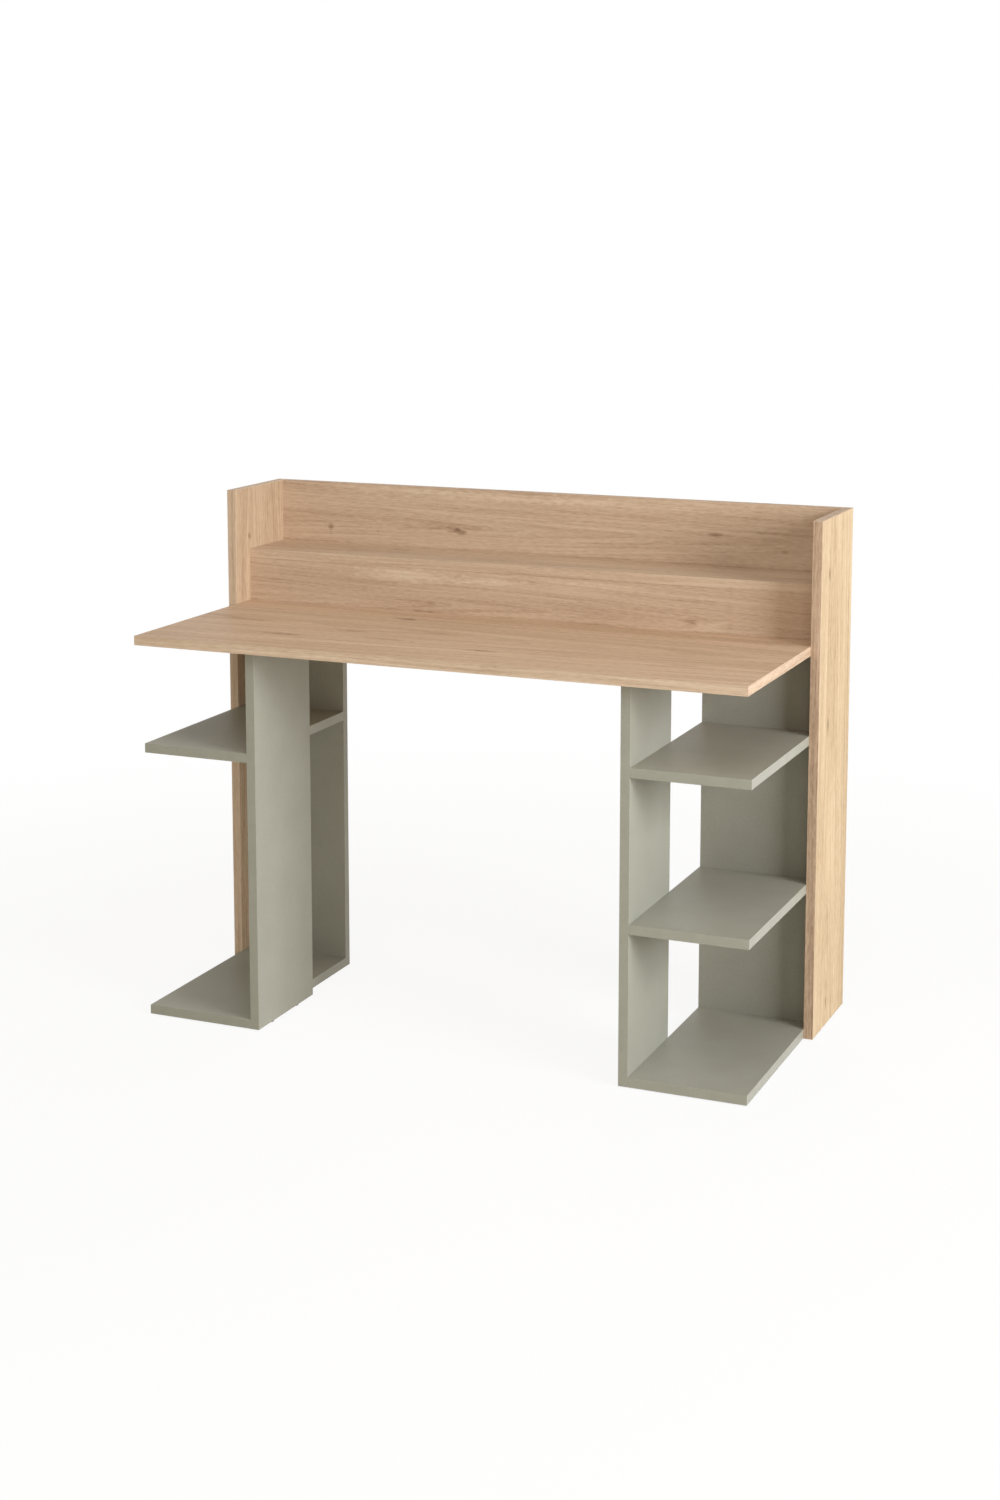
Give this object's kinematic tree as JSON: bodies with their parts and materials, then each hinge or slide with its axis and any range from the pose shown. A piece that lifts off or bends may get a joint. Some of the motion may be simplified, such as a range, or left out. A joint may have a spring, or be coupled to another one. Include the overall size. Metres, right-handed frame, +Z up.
{
  "type": "computer desk",
  "caption": "Board computer desk: a long desktop on open shelf pedestals at both ends, with tall narrow side panels and a low hutch shelf and back board along the rear.",
  "frame": {"origin": "on the floor, under the middle of the desk's outline", "axes": "+X to the right of a user who sits at the desk, +Y to the rear, +Z up"},
  "size_m": [1.236, 0.61, 0.983],
  "materials": {
    "oak_board": "light oak decor melamine, matt with fine pores",
    "grey_board": "plain matt grey-green melamine",
    "oak_banding": "light oak decor edge band",
    "grey_banding": "matt grey-green edge band",
    "zinc": "die-cast zinc, dull",
    "steel": "zinc-plated steel",
    "beech": "raw beech",
    "cap_plastic": "matt grey-green plastic",
    "glide_plastic": "dark polyethylene"
  },
  "bodies": {
    "root": {"desktop": "oak_board", "desktop_cam_bolts": "steel", "desktop_cam_locks": "zinc", "desktop_dowels": "beech", "desktop_edge_bands": "oak_banding", "hutch_back": "oak_board", "hutch_back_edge_bands": "oak_banding", "hutch_cam_bolts": "steel", "hutch_cam_locks": "zinc", "hutch_dowels": "beech", "hutch_riser": "oak_board", "hutch_riser_edge_bands": "oak_banding", "hutch_shelf": "oak_board", "hutch_shelf_edge_bands": "oak_banding", "left_base_shelf": "grey_board", "left_base_shelf_edge_bands": "grey_banding", "left_floor_glides": "glide_plastic", "left_glide_pins": "steel", "left_leg": "grey_board", "left_leg_edge_bands": "grey_banding", "left_pedestal_back": "grey_board", "left_pedestal_back_edge_bands": "grey_banding", "left_pedestal_cam_bolts": "steel", "left_pedestal_cam_locks": "zinc", "left_pedestal_dowels": "beech", "left_shelf": "grey_board", "left_shelf_edge_bands": "grey_banding", "left_side_panel": "oak_board", "left_side_panel_edge_bands": "oak_banding", "leg_cam_caps": "cap_plastic", "right_base_shelf": "grey_board", "right_base_shelf_edge_bands": "grey_banding", "right_floor_glides": "glide_plastic", "right_glide_pins": "steel", "right_leg": "grey_board", "right_leg_edge_bands": "grey_banding", "right_lower_shelf": "grey_board", "right_lower_shelf_edge_bands": "grey_banding", "right_pedestal_back": "grey_board", "right_pedestal_back_edge_bands": "grey_banding", "right_pedestal_cam_bolts": "steel", "right_pedestal_cam_locks": "zinc", "right_pedestal_dowels": "beech", "right_side_panel": "oak_board", "right_side_panel_edge_bands": "oak_banding", "right_upper_shelf": "grey_board", "right_upper_shelf_edge_bands": "grey_banding"}
  },
  "joints": []
}
